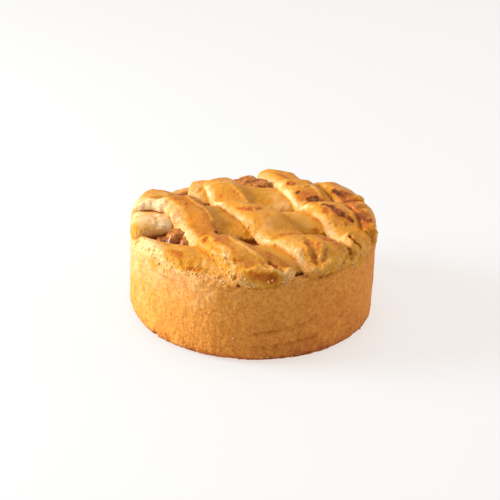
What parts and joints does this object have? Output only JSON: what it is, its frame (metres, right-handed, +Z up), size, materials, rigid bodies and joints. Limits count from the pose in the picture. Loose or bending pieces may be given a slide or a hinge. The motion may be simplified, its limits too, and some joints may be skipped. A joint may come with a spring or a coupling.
{
  "type": "apple pie",
  "caption": "Individual deep apple pie with a straight shortcrust wall, a lattice of overlapping glazed dough strips on top, and apple filling showing in the gaps.",
  "frame": {"origin": "middle of the flat foot that the pie rests on", "axes": "+Z up; -Y towards the side of the pie that the picture shows, +X to its right"},
  "size_m": [0.1008, 0.1004, 0.0452],
  "materials": {
    "crust": "dry granular baked shortcrust, golden brown",
    "baked_crust": "egg-glazed baked shortcrust, glossy on its crests and floury on its flanks",
    "apple_filling": "moist cooked apple in a dark cinnamon syrup"
  },
  "bodies": {
    "root": {"crust_case": "crust", "filling": "apple_filling", "strip_under_front": "baked_crust", "strip_under_middle": "baked_crust", "strip_under_back": "baked_crust", "strip_over_left": "baked_crust", "strip_over_centre": "baked_crust", "strip_over_right": "baked_crust", "strip_over_edge": "baked_crust"}
  },
  "joints": []
}
